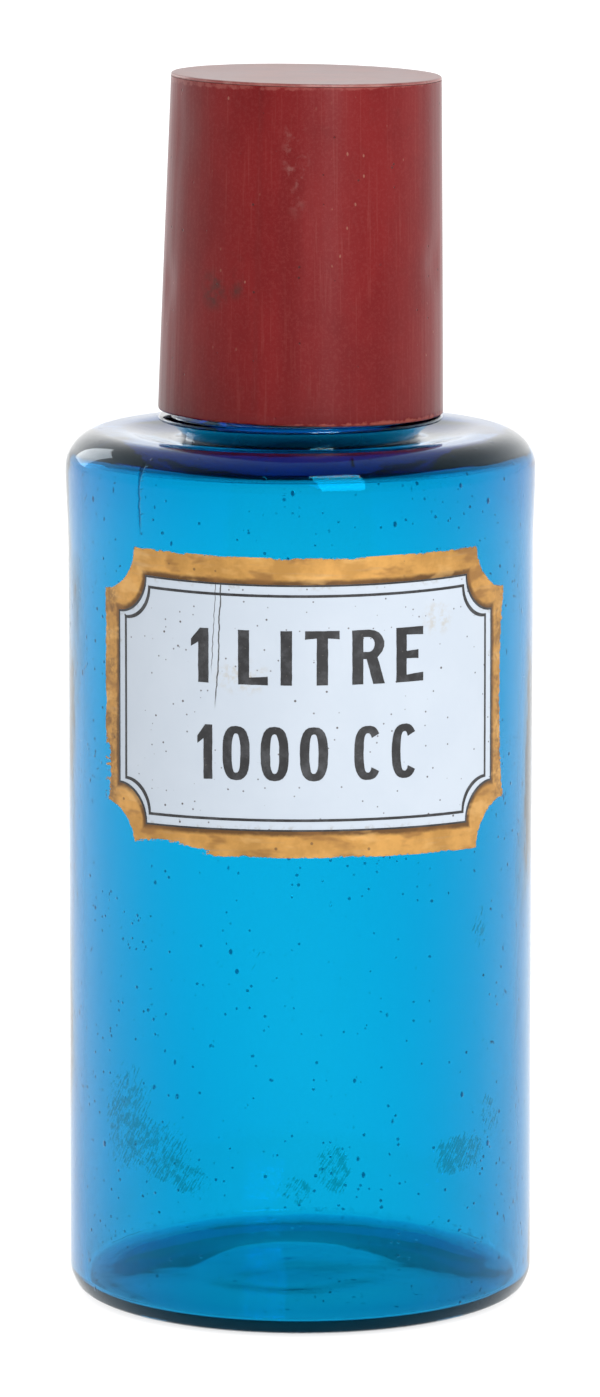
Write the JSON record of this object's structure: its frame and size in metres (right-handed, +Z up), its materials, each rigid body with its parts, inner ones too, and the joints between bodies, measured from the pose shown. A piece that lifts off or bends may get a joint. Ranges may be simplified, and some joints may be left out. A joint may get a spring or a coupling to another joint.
{
  "type": "pharmacy shelf bottle",
  "caption": "Tall cylindrical blue glass pharmacy bottle with a ground glass stopper, a slip-over painted tin cap and a fired gilt and white label.",
  "frame": {"origin": "centre of the base, on the surface the bottle stands on", "axes": "+Z up along the bottle's axis, the label faces -Y"},
  "size_m": [0.0976, 0.098, 0.2548],
  "materials": {
    "blue_glass": "blown, clear, slightly wavy",
    "stopper_glass": "pressed and polished, ground frosted on the plug",
    "red_paint": "aged satin japanning on tinplate, scuffed",
    "solder": "dull grey soft solder",
    "gilding": "fired gold, worn and tarnished",
    "white_enamel": "fired white enamel, fine specks",
    "black_enamel": "fired black enamel, worn"
  },
  "bodies": {
    "bottle": {"bottle_glass": "blue_glass", "label_gilding": "gilding", "label_enamel": "white_enamel", "label_border_line": "black_enamel"},
    "stopper": {"stopper": "stopper_glass"},
    "cap": {"cap_wall": "red_paint", "cap_top": "red_paint", "cap_top_solder": "solder"}
  },
  "joints": [
    {"name": "stopper_lift", "type": "slide", "parent": "bottle", "child": "stopper", "axis": [0, 0, 1], "range_m": [0, 0.04]},
    {"name": "cap_lift", "type": "slide", "parent": "stopper", "child": "cap", "axis": [0, 0, 1], "range_m": [0, 0.08]}
  ]
}
